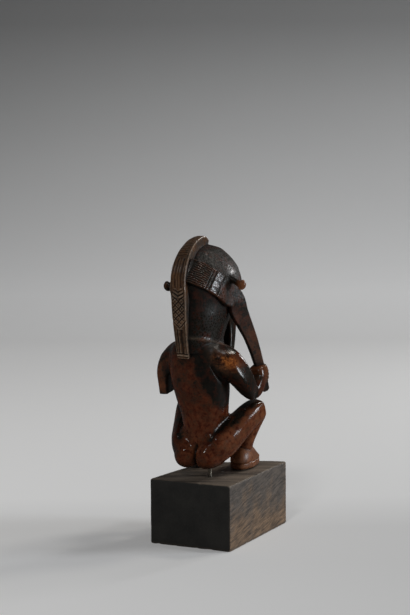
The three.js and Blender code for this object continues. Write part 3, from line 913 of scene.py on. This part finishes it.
def mark_figure(mesh):
    """Stores for each vertex which part it is, its tone (dark, brown, orange) and its form (hollow, worn,
    dull), for the material to read. The dark tone and the hollows hold painted shade besides paint and
    dirt, and the right ear's pale end is a painted highlight."""
    verts, facing = coordinates(mesh), normals(mesh)
    bend, pairs = bending(mesh, verts)
    fine, broad = spread_out(bend, pairs, 1), spread_out(bend, pairs, 9)
    share = part_shares(mesh)
    body, head, locks = share["body"], share["head"], share["strap"]
    out, back, up = MIDPLANE - verts[:, 0], verts[:, 1], verts[:, 2]
    place, mirrored = np.stack([out, back, up], 1), np.stack([np.abs(out), back, up], 1)
    band, shaded_under, warm = dark_band(verts), shaded_undersides(place, facing), rubbed_orange(place)

    dark = sum(DARKNESS[name] * here for name, here in share.items())
    # Painted shade darkens the undersides, the arms' inner faces and the shade places body_shade lists
    dark += body * (0.95 * band + 0.6 * shaded_under + body_shade(place, facing))
    dark += locks * lock_shade(place, facing) - 0.6 * np.clip(warm, 0, 1)
    # The ears are painted black but for the right ear's end, left pale tan as a painted highlight
    dark += share["ear"] * np.where(out < 0, 1, fall(out, 24, 25.5))
    brown = sum(BROWNNESS[name] * here for name, here in share.items())
    brown += body * body_brown(place) + 0.25 * locks * fall(up, 112, 140)
    brown += 0.3 * blob(place, (0, 30, 60), (6, 8, 7))

    # Hollows: dirt in the fine cuts, painted shade over the broad creases between the limbs
    hollow = np.clip(fine / 0.55, 0, 1) + np.clip(broad / 0.3, 0, 0.8)
    worn = np.clip((-fine - 0.16) / 0.5, 0, 1)
    worn += 0.5 * share["crest"] * np.clip(-fine / 0.4, 0, 1)
    worn += 0.9 * neck_ring(back, up, 127.3, 0.7) * step(back, 8, 20) * (body + head)
    dull = NEUTRAL_DULL + body * (shaded_under + 0.6 * band)
    dull += head * (1 - blob(mirrored, *TEMPLE)) * step(up, 138, 150)
    dull += 0.5 * share["foot"] + 0.8 * locks * fall(back, 22, 28)
    for middle, size in POLISHED:
        dull -= 0.35 * blob(mirrored, middle, size)

    store(mesh, "part", [share["crest"], locks, head])
    store(mesh, "tone", [dark, brown, warm])
    store(mesh, "form", [hollow, worn, dull])


# The block: a beam end, worn round its edges


def block_outline(wide, long, nook, radius):
    """Four straight sides with rounded corners; one corner is set in by nook."""
    corner = np.array([(-wide, -long), (wide - nook[0], -long + nook[1]), (wide, long), (-wide, long)])
    outline = []
    for k in range(4):
        here, before, after = corner[k], corner[k - 1], corner[(k + 1) % 4]
        a = here + unit(before - here) * radius
        b = here + unit(after - here) * radius
        s = np.linspace(0, 1, 8)[:, None]
        outline.append((1 - s) ** 2 * a + 2 * s * (1 - s) * here + s**2 * b)
        c = after + unit(here - after) * radius
        s = np.linspace(0, 1, int(np.linalg.norm(c - b) / 0.75), endpoint=False)[1:, None]
        outline.append(b + s * (c - b))
    return np.concatenate(outline)


def block_grid():
    """The block's plan outline carried up in rows: out over the underside, round the lower edge, up
    the sides, round the upper edge and in over the top, which falls a little towards one corner."""
    outline = block_outline(BLOCK_HALF_WIDE, BLOCK_HALF_LONG, BLOCK_NOOK, BLOCK_CORNER)
    edge, height = BLOCK_EDGE, BLOCK_HIGH
    arc = np.linspace(0, math.pi / 2, 6)[1:]
    rise = np.linspace(edge, height - edge, 52)
    under, over = np.array([0, 0.3, 0.6, 0.85, 0.95]), np.linspace(1, 0, 34)[1:]
    reach = np.concatenate([under, np.ones(2 * len(arc) + len(rise)), over])[:, None]
    set_in = edge * np.concatenate([
        np.ones(len(under)), 1 - np.sin(arc), 0 * rise, 1 - np.cos(arc), np.ones(len(over)),
    ])[:, None]
    lower, upper = edge * (1 - np.cos(arc)), height - edge + edge * np.sin(arc)
    up = np.concatenate([0 * under, lower, rise, upper, np.full(len(over), height)])[:, None]
    centre = outline.mean(0)
    away = (outline - centre)[None]
    drawn_in = np.sign(away) * np.minimum(set_in[..., None], np.abs(away))
    plan = centre + away * reach[..., None] - drawn_in
    x, y = plan[..., 0], plan[..., 1]
    z = np.broadcast_to(up, x.shape)
    dip = 2.2 * step((x - 6) * 0.5 - (y + 14) * 0.5, 0, 16) * step(z, 20, 40)
    flat = np.stack([x, y, z - dip], -1).reshape(-1, 3)
    outside = np.repeat(reach[:, 0] > 0.93, outline.shape[0])
    rim = bell(np.minimum(height - flat[:, 2], flat[:, 2]), 1.6) * outside
    wear = np.abs(unevenness(flat, (0.16, 9, 51), (0.08, 2.5, 52)))
    chips = 0.8 * np.clip(lattice_noise(flat, 2.4, 53) - 0.35, 0, 1) * rim
    half_sizes = np.array([BLOCK_HALF_WIDE, BLOCK_HALF_LONG, height / 2])
    inwards = -unit((flat - np.array([centre[0], centre[1], height / 2])) / half_sizes)
    flat = flat + inwards * (wear + chips)[:, None]
    flat[:, 2] = np.maximum(flat[:, 2], 0.0)
    return flat.reshape(x.shape + (3,))


def mark_block(mesh):
    """Stores for each vertex which face it is on (the end at the back, a side, the top) and how hollow
    and how worn it is."""
    verts, facing = coordinates(mesh), normals(mesh)
    bend, pairs = bending(mesh, verts)
    fine = spread_out(bend, pairs, 2)
    end, top = step(facing[:, 1], 0.5, 0.8), step(facing[:, 2], 0.5, 0.8)
    store(mesh, "tone", [end, 1 - end - top, top])
    store(mesh, "form", [np.clip(fine / 0.3, 0, 1), np.clip((-fine - 0.05) / 0.35, 0, 1)])


# Materials

# Paints, most of them as a darkest and a lightest shade, in linear red, green and blue
BLACK = ((0.0045, 0.0035, 0.0024), (0.014, 0.0112, 0.0076))
RED_BROWN = ((0.045, 0.0085, 0.0035), (0.165, 0.042, 0.016))
TAN = ((0.105, 0.036, 0.015), (0.32, 0.13, 0.058))
CREST_BROWN = ((0.045, 0.017, 0.008), (0.2, 0.095, 0.042))
ORANGE = ((0.24, 0.06, 0.012), (0.6, 0.2, 0.045))
# The figure's hollow colour: dirt in its cuts, painted shade over its broad creases
BARE_WOOD, FIGURE_DIRT_AND_SHADE = (0.27, 0.19, 0.13), (0.004, 0.003, 0.0025)
BLOCK_SIDE_LOW = ((0.055, 0.032, 0.017), (0.24, 0.145, 0.078))
BLOCK_SIDE_HIGH = ((0.037, 0.028, 0.022), (0.115, 0.088, 0.068))
BLOCK_TOP = ((0.055, 0.042, 0.031), (0.2, 0.155, 0.115))
BLOCK_END = ((0.017, 0.016, 0.014), (0.029, 0.0265, 0.0225))
BLOCK_BARE_WOOD, BLOCK_DIRT = (0.24, 0.19, 0.14), (0.015, 0.012, 0.01)
PIN_METAL = ((0.3, 0.27, 0.22), (0.55, 0.5, 0.42))

# Sizes of the patterns, as cells in a metre
FIGURE_CLOUDS, FIGURE_BLOTS, FIGURE_SPECKS = 150.0, 380.0, 900.0
FIGURE_FIBRES, FIGURE_CRACKS = 1100.0, 560.0
BLOCK_CLOUDS, BLOCK_SPECKS, SAW_MARKS, TOP_FIBRES = 60.0, 700.0, 900.0, 150.0
PIN_SPOTS = 500.0

# How many times longer the grain is along the wood than across it
FIGURE_GRAIN, BLOCK_GRAIN, BLOCK_TOP_GRAIN = 1 / 0.12, 1 / 0.12, 1 / 0.14
SAW_SLANT, TOP_GRAIN_SLANT = math.radians(-12), math.radians(20)

COLOUR, VALUE, VECTOR = "NodeSocketColor", "NodeSocketFloat", "NodeSocketVector"


def colour(r, g, b):
    """The opaque colour that a socket takes."""
    return (r, g, b, 1.0)


class Shading:
    """Short ways to add nodes to a material or group."""

    def __init__(self, tree):
        self.tree = tree

    def node(self, kind, inputs=None, **settings):
        made = self.tree.nodes.new(kind)
        for key, value in settings.items():
            setattr(made, key, value)
        for key, value in (inputs or {}).items():
            self.feed(made.inputs[key], value)
        return made

    def feed(self, socket, value):
        if isinstance(value, bpy.types.NodeSocket):
            self.tree.links.new(value, socket)
        else:
            socket.default_value = value

    def math(self, operation, a, b):
        return self.node("ShaderNodeMath", {0: a, 1: b}, operation=operation).outputs[0]

    def add(self, *values):
        total = values[0]
        for value in values[1:]:
            total = self.math("ADD", total, value)
        return total

    def times(self, a, b):
        return self.math("MULTIPLY", a, b)

    def scale(self, value, low, high, to_low=0.0, to_high=1.0):
        return self.node("ShaderNodeMapRange", {
            "Value": value, "From Min": low, "From Max": high, "To Min": to_low, "To Max": to_high,
        }).outputs["Result"]

    def swing(self, noise, reach):
        """From minus reach to reach as the noise goes over its middle range."""
        return self.scale(noise, 0.3, 0.7, -reach, reach)

    def mix(self, share, a, b):
        """Blends colours. The node has sockets for other kinds too, so those for colours are picked."""
        made = self.node("ShaderNodeMix", {"Factor": share}, data_type="RGBA")
        for socket in made.inputs:
            if socket.type == "RGBA":
                self.feed(socket, a if socket.name == "A" else b)
        return next(out for out in made.outputs if out.type == "RGBA")

    def shades(self, noise, paint, spread=0.15):
        """A paint from its darkest to its lightest shade as the noise goes from under to over a half."""
        darkest, lightest = paint
        share = self.scale(noise, 0.5 - spread, 0.5 + spread)
        return self.mix(share, colour(*darkest), colour(*lightest))

    def clamped(self, value):
        return self.node("ShaderNodeClamp", {"Value": value}).outputs[0]

    def noise(self, vector, scale, detail=3.0, rough=0.55):
        return self.node("ShaderNodeTexNoise", {
            "Vector": vector, "Scale": scale, "Detail": detail, "Roughness": rough,
        }).outputs["Fac"]

    def marks(self, name):
        """The three values stored in a colour attribute of that name."""
        read = self.node("ShaderNodeAttribute", attribute_name=name).outputs["Color"]
        made = self.node("ShaderNodeSeparateColor", {"Color": read})
        return [made.outputs[k] for k in ("Red", "Green", "Blue")]

    def placed(self, group, inputs):
        """What a node group puts out when it is placed with those inputs."""
        return self.node("ShaderNodeGroup", inputs, node_tree=group).outputs[0]

    def bump(self, shader, height, strength, distance):
        made = self.node("ShaderNodeBump", {"Height": height, "Strength": strength, "Distance": distance})
        self.feed(shader.inputs["Normal"], made.outputs["Normal"])


def new_group(name, inputs, outputs):
    """An empty node group, whose inputs and outputs are given as names with their kinds of socket."""
    tree = bpy.data.node_groups.new(name, "ShaderNodeTree")
    for side, sockets in (("INPUT", inputs), ("OUTPUT", outputs)):
        for label, kind in sockets.items():
            tree.interface.new_socket(label, in_out=side, socket_type=kind)
    s = Shading(tree)
    return tree, s, s.node("NodeGroupInput").outputs


def wood_grain():
    """Grain of both woods: noise at a place that is turned, then divided along each axis by how many
    times longer the pattern is there."""
    inputs = {"Place": VECTOR, "Turn": VECTOR, "Stretch": VECTOR, "Scale": VALUE, "Roughness": VALUE}
    tree, s, given = new_group("wood_grain", inputs, {"Grain": VALUE})
    turned = s.node(
        "ShaderNodeMapping",
        {"Vector": given["Place"], "Rotation": given["Turn"], "Scale": given["Stretch"]},
        vector_type="TEXTURE",
    ).outputs["Vector"]
    s.node("NodeGroupOutput", {"Grain": s.noise(turned, given["Scale"], 4.0, given["Roughness"])})
    return tree


def wear_dirt_and_shade():
    """Wear of both woods: paint gives way to bare wood where it is rubbed, and the hollows darken:
    dirt in the cuts, and on the figure painted shade over its broad creases.
    """
    inputs = {"Paint": COLOUR, "Bare Wood": COLOUR, "Rubbed": VALUE, "Dirt And Shade": COLOUR, "Hollow Darkening": VALUE}
    tree, s, given = new_group("wear_dirt_and_shade", inputs, {"Paint": COLOUR})
    rubbed = s.mix(s.clamped(given["Rubbed"]), given["Paint"], given["Bare Wood"])
    s.node("NodeGroupOutput", {"Paint": s.mix(given["Hollow Darkening"], rubbed, given["Dirt And Shade"])})
    return tree


def new_material(name):
    """A material with its node helper and its shader."""
    mat = bpy.data.materials.new(name)
    mat.use_nodes = True
    return mat, Shading(mat.node_tree), mat.node_tree.nodes["Principled BSDF"]


def figure_material(grain_group, wear_dirt_shade_group):
    """Old carved wood: near black on head and neck, red brown on the body, brown and orange where it
    is rubbed, black in the cuts, with painted shade over its creases, undersides and the inner faces
    of arms and locks, and a painted highlight on the right ear's end. The polish is broken up by
    grain and fine cracks."""
    mat, s, shader = new_material("figure_wood_patina")
    place = s.node("ShaderNodeTexCoord").outputs["Object"]
    crested, strapped, head = s.marks("part")
    dark, brown, warm = s.marks("tone")
    hollow, worn, dull = s.marks("form")
    clouds = s.noise(place, FIGURE_CLOUDS, 4.0, 0.6)
    blots = s.noise(place, FIGURE_BLOTS, 4.0, 0.65)
    specks = s.noise(place, FIGURE_SPECKS, 3.0, 0.65)
    grain = s.placed(grain_group, {
        "Place": place, "Stretch": (1.0, 1.0, FIGURE_GRAIN), "Scale": FIGURE_FIBRES, "Roughness": 0.6,
    })
    mottle = s.add(s.swing(clouds, 0.4), s.swing(blots, 0.45), s.swing(specks, 0.16))

    how_brown = s.add(brown, s.times(mottle, 0.4))
    paint = s.mix(s.clamped(how_brown), s.shades(blots, RED_BROWN), s.shades(blots, TAN))
    paint = s.mix(crested, paint, s.shades(blots, CREST_BROWN))
    how_dark = s.add(dark, s.times(mottle, 1.05), s.times(worn, -0.35))
    paint = s.mix(s.clamped(how_dark), paint, s.shades(clouds, BLACK))
    broken = s.scale(s.add(clouds, s.times(specks, 0.6)), 0.68, 0.9)
    paint = s.mix(s.clamped(s.times(warm, broken)), paint, s.shades(specks, ORANGE))
    rubbed = s.times(worn, s.scale(specks, 0.35, 0.6, 0.1, 0.6))
    # The hollows darken: dirt in the cuts, painted shade over the broad creases between the limbs
    paint = s.placed(wear_dirt_shade_group, {
        "Paint": paint, "Bare Wood": colour(*BARE_WOOD), "Dirt And Shade": colour(*FIGURE_DIRT_AND_SHADE),
        "Rubbed": s.times(rubbed, s.add(s.times(crested, 1.6), 0.6)), "Hollow Darkening": s.times(hollow, 0.85),
    })
    s.feed(shader.inputs["Base Color"], paint)

    cells = {"Vector": place, "Scale": FIGURE_CRACKS}
    to_crack = s.node("ShaderNodeTexVoronoi", cells, feature="DISTANCE_TO_EDGE").outputs["Distance"]
    cracks = s.scale(to_crack, 0.02, 0.14, 0.45, 0.0)
    rough = s.add(
        s.scale(specks, 0.3, 0.7, 0.11, 0.21),
        s.times(hollow, 0.3),
        s.times(crested, 0.12),
        s.times(s.add(dull, -NEUTRAL_DULL), 0.35),
        s.times(warm, -0.1),
        s.times(head, 0.02),
        s.scale(clouds, 0.35, 0.65, -0.04, 0.06),
        s.times(cracks, s.add(head, strapped)),
    )
    s.feed(shader.inputs["Roughness"], rough)
    shader.inputs["Specular IOR Level"].default_value = 0.22
    relief = s.add(s.times(grain, s.add(s.times(head, 0.9), 0.4)), s.times(specks, 0.8))
    s.bump(shader, relief, 0.55, 0.0001)
    return mat


def block_material(grain_group, wear_dirt_shade_group):
    """Stained wood: the end towards the back is smooth and near black, the long sides are scored with
    slanting saw marks over brown, the top is grey brown with rubbed edges."""
    mat, s, shader = new_material("block_wood_stain")
    place = s.node("ShaderNodeTexCoord").outputs["Object"]
    end, side, top = s.marks("tone")
    hollow, worn = s.marks("form")[:2]
    clouds = s.noise(place, BLOCK_CLOUDS, 4.0, 0.6)
    specks = s.noise(place, BLOCK_SPECKS, 4.0, 0.6)
    saw_marks = s.placed(grain_group, {
        "Place": place, "Turn": (SAW_SLANT, 0.0, 0.0), "Stretch": (1.0, BLOCK_GRAIN, 1.0),
        "Scale": SAW_MARKS, "Roughness": 0.7,
    })
    top_grain = s.placed(grain_group, {
        "Place": place, "Turn": (0.0, 0.0, TOP_GRAIN_SLANT), "Stretch": (BLOCK_TOP_GRAIN, 1.0, 1.0),
        "Scale": TOP_FIBRES, "Roughness": 0.6,
    })

    up = s.node("ShaderNodeSeparateXYZ", {"Vector": place}).outputs["Z"]
    how_high = s.add(s.scale(up, 0.004, 0.036), s.swing(clouds, 0.5))
    low, high = s.shades(saw_marks, BLOCK_SIDE_LOW, 0.14), s.shades(saw_marks, BLOCK_SIDE_HIGH, 0.14)
    paint = s.mix(s.scale(how_high, 0.15, 0.85), low, high)
    paint = s.mix(top, paint, s.shades(top_grain, BLOCK_TOP))
    paint = s.mix(end, paint, s.shades(clouds, BLOCK_END))
    rubbed = s.times(worn, s.scale(specks, 0.35, 0.6, 0.2, 0.9))
    paint = s.placed(wear_dirt_shade_group, {
        "Paint": paint, "Bare Wood": colour(*BLOCK_BARE_WOOD), "Dirt And Shade": colour(*BLOCK_DIRT),
        "Rubbed": s.times(rubbed, s.add(s.times(end, -0.85), 1.0)), "Hollow Darkening": s.times(hollow, 0.6),
    })
    s.feed(shader.inputs["Base Color"], paint)
    s.feed(shader.inputs["Roughness"], s.scale(specks, 0.3, 0.7, 0.5, 0.72))
    s.bump(shader, s.add(s.times(saw_marks, s.add(side, 0.1)), s.times(specks, 0.35)), 0.6, 0.0003)
    return mat


def pin_material():
    """Old steel, yellowish, brighter and duller in spots."""
    mat, s, shader = new_material("pin_steel")
    dull = s.noise(s.node("ShaderNodeTexCoord").outputs["Object"], PIN_SPOTS, 3.0)
    s.feed(shader.inputs["Base Color"], s.shades(dull, PIN_METAL))
    s.feed(shader.inputs["Roughness"], s.scale(dull, 0.3, 0.7, 0.25, 0.5))
    shader.inputs["Metallic"].default_value = 1.0
    return mat


# Studio, in metres

VIEW_TURN, VIEW_DIP, VIEW_ROLL = math.radians(-26.54), math.radians(5.73), math.radians(-0.42)
CAMERA_PLACE = (-0.4316, 0.8831, 0.2404)
FOCAL_LENGTH, PICTURE_LONG = 1600, 615  # in pixels of the picture, which is upright
FILM = 36  # length in mm that the picture's long side stands for

# Name, place, where it points, width and height, brightness, and its tint
WHITE, WARM_WHITE, COOL_WHITE = (1, 1, 1), (1, 0.96, 0.88), (0.88, 0.94, 1)
LAMPS = [
    ("rim", (-0.33, -0.93, 0.42), (0, 0, 0.14), (0.12, 0.2), 19, WHITE),
    ("high", (-0.43, -0.57, 0.88), (0, 0, 0.12), (0.16, 0.16), 21, WARM_WHITE),
    ("side", (-0.93, -0.42, 0.21), (0, 0, 0.12), (0.24, 0.3), 22, COOL_WHITE),
    ("top", (-0.33, -0.16, 1.1), (0, 0, 0.1), (0.12, 0.12), 30, WHITE),
    ("camera_top", (-0.16, 0.9, 0.95), (0, 0, 0.1), (0.15, 0.15), 34, WHITE),
]

# The backdrop: where it starts towards the camera, how far back and how high it goes, half its width
PAPER_START, PAPER_BACK, PAPER_HIGH, PAPER_HALF_WIDE = -2.5, 1.3, 2.6, 3
PAPER_BEND = 0.3  # radius of its bend
# Way along the sweep, and how pale the paper is there, as painted light: a painted shade band
# across the table at 0, and darker towards the top of the wall
PAPER = [(-0.2, 0.66), (0, 0.6), (0.1, 0.72), (0.9, 0.82), (1.2, 0.78), (1.5, 0.47), (1.75, 0.16)]
# Ways along the sweep, and how much paler the paper gets there in a metre to the right, which is
# painted light
PAPER_TILT = ((-0.1, 1.6), (-1.0, 0.6))
PAPER_GLOW = 0.25
ROOM_LIGHT, ROOM_SEEN = 0.14, 0.85  # how bright the room is as a light, and as the camera sees it


def add_light(name, place, aim, size, power, tint):
    """A soft box of that size, whose brightness is power however large it is."""
    data = bpy.data.lights.new(name, "AREA")
    data.shape = "RECTANGLE"
    data.size, data.size_y = size
    data.energy = power * math.pi * size[0] * size[1]
    data.color = tint
    made = put(name, data)
    made.location = place
    made.rotation_euler = (Vector(aim) - Vector(place)).to_track_quat("-Z", "Y").to_euler()


def set_camera():
    """The camera of the photograph, solved from the block's corners."""
    level_ahead = Vector((math.sin(VIEW_TURN), math.cos(VIEW_TURN), 0))
    ahead = -(level_ahead * math.cos(VIEW_DIP) + Vector((0, 0, math.sin(VIEW_DIP))))
    level = -Vector((math.cos(VIEW_TURN), -math.sin(VIEW_TURN), 0))
    up = level.cross(ahead)
    right_of = level * math.cos(VIEW_ROLL) + up * math.sin(VIEW_ROLL)
    top_of = -level * math.sin(VIEW_ROLL) + up * math.cos(VIEW_ROLL)
    data = bpy.data.cameras.new("camera")
    data.sensor_width = FILM
    data.lens = FILM * FOCAL_LENGTH / PICTURE_LONG
    data.clip_start = 0.01
    made = put("camera", data)
    axes = Matrix((right_of, top_of, -ahead)).transposed().to_4x4()
    made.matrix_world = Matrix.Translation(Vector(CAMERA_PLACE)) @ axes
    bpy.context.scene.camera = made


def backdrop():
    """A table and a wall behind it in one sweep, square to the camera: the profile goes back along the
    table, round a quarter circle and up, and is drawn out sideways. Its paint is painted light: paler
    to the left near the camera, against the lamps, paler to the right on the wall, darker towards the
    wall's top, and with a painted shade band across the table."""
    away = -np.array([math.sin(VIEW_TURN), math.cos(VIEW_TURN)])
    aside = np.array([away[1], -away[0]])
    arc = np.linspace(0, math.pi / 2, 24)[1:]
    bend_start = PAPER_BACK - PAPER_BEND
    table, wall = np.linspace(PAPER_START, bend_start, 40), np.linspace(PAPER_BEND, PAPER_HIGH, 21)[1:]
    run = np.concatenate([table, bend_start + PAPER_BEND * np.sin(arc), np.full(len(wall), PAPER_BACK)])
    rise = np.concatenate([0 * table, PAPER_BEND * (1 - np.cos(arc)), wall])
    wide = np.linspace(-PAPER_HALF_WIDE, PAPER_HALF_WIDE, 61)
    plan = away[None, None, :] * run[:, None, None] + aside[None, None, :] * wide[None, :, None]
    grid = np.concatenate([plan, np.broadcast_to(rise[:, None, None], plan.shape[:2] + (1,))], -1)
    rows, columns = grid.shape[:2]
    at = np.arange(rows - 1)[:, None] * columns + np.arange(columns - 1)[None, :]
    faces = np.stack([at, at + 1, at + columns + 1, at + columns], -1).reshape(-1, 4)
    mesh = bpy.data.meshes.new("backdrop")
    mesh.from_pydata(grid.reshape(-1, 3), [], faces.tolist())
    smooth(mesh)
    way = (run + rise)[:, None]
    tilt = np.interp(way, *PAPER_TILT)
    pale = np.interp(way, *np.transpose(PAPER)) * (1 + tilt * np.clip(wide, -0.4, 0.4))
    marks = mesh.attributes.new("pale", "FLOAT", "POINT")
    marks.data.foreach_set("value", pale.ravel().astype(np.float32))
    return put("backdrop", mesh)


def paper_material():
    """Grey paper, as pale as its marks say, which carry painted light and shade, glowing a little
    though it is no lamp.
    """
    mat, s, shader = new_material("studio_paper")
    pale = s.node("ShaderNodeAttribute", attribute_name="pale").outputs["Fac"]
    s.feed(shader.inputs["Base Color"], pale)
    s.feed(shader.inputs["Emission Color"], pale)
    shader.inputs["Emission Strength"].default_value = PAPER_GLOW
    shader.inputs["Roughness"].default_value = 0.9
    shader.inputs["Specular IOR Level"].default_value = 0.1
    return mat


def pale_room():
    """A room that gives little light of its own, and looks as pale as the paper where the paper ends."""
    world = bpy.data.worlds.new("room")
    world.use_nodes = True
    s = Shading(world.node_tree)
    glow = world.node_tree.nodes["Background"]
    glow.inputs["Color"].default_value = colour(0.5, 0.5, 0.5)
    seen = s.node("ShaderNodeLightPath").outputs["Is Camera Ray"]
    s.feed(glow.inputs["Strength"], s.scale(seen, 0.0, 1.0, ROOM_LIGHT, ROOM_SEEN))
    return world


def set_studio():
    """Paper, room and lamps."""
    paper = backdrop()
    paper.data.materials.append(paper_material())
    paper.visible_glossy = False  # the polish does not mirror it, as if black screens stood round the set
    bpy.context.scene.world = pale_room()
    for lamp in LAMPS:
        add_light(*lamp)


set_camera()
set_studio()
grain_group, wear_dirt_shade_group = wood_grain(), wear_dirt_and_shade()

figure = build_figure()
mark_figure(figure.data)
figure.data.materials.clear()
figure.data.materials.append(figure_material(grain_group, wear_dirt_shade_group))
figure.data.polygons.foreach_set("material_index", np.zeros(len(figure.data.polygons), np.int32))
smooth(figure.data, sharp_degrees=48)
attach(figure, "root")
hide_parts("carved_figure")

block = add_object("base_block_wood", [block_grid()])
mark_block(block.data)
block.data.materials.append(block_material(grain_group, wear_dirt_shade_group))
smooth(block.data, sharp_degrees=60)
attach(block, "root")
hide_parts("base_block")

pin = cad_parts["mounting_pin"]
pin.data.materials.clear()
pin.data.materials.append(pin_material())

bpy.context.scene.view_settings.view_transform = "Standard"
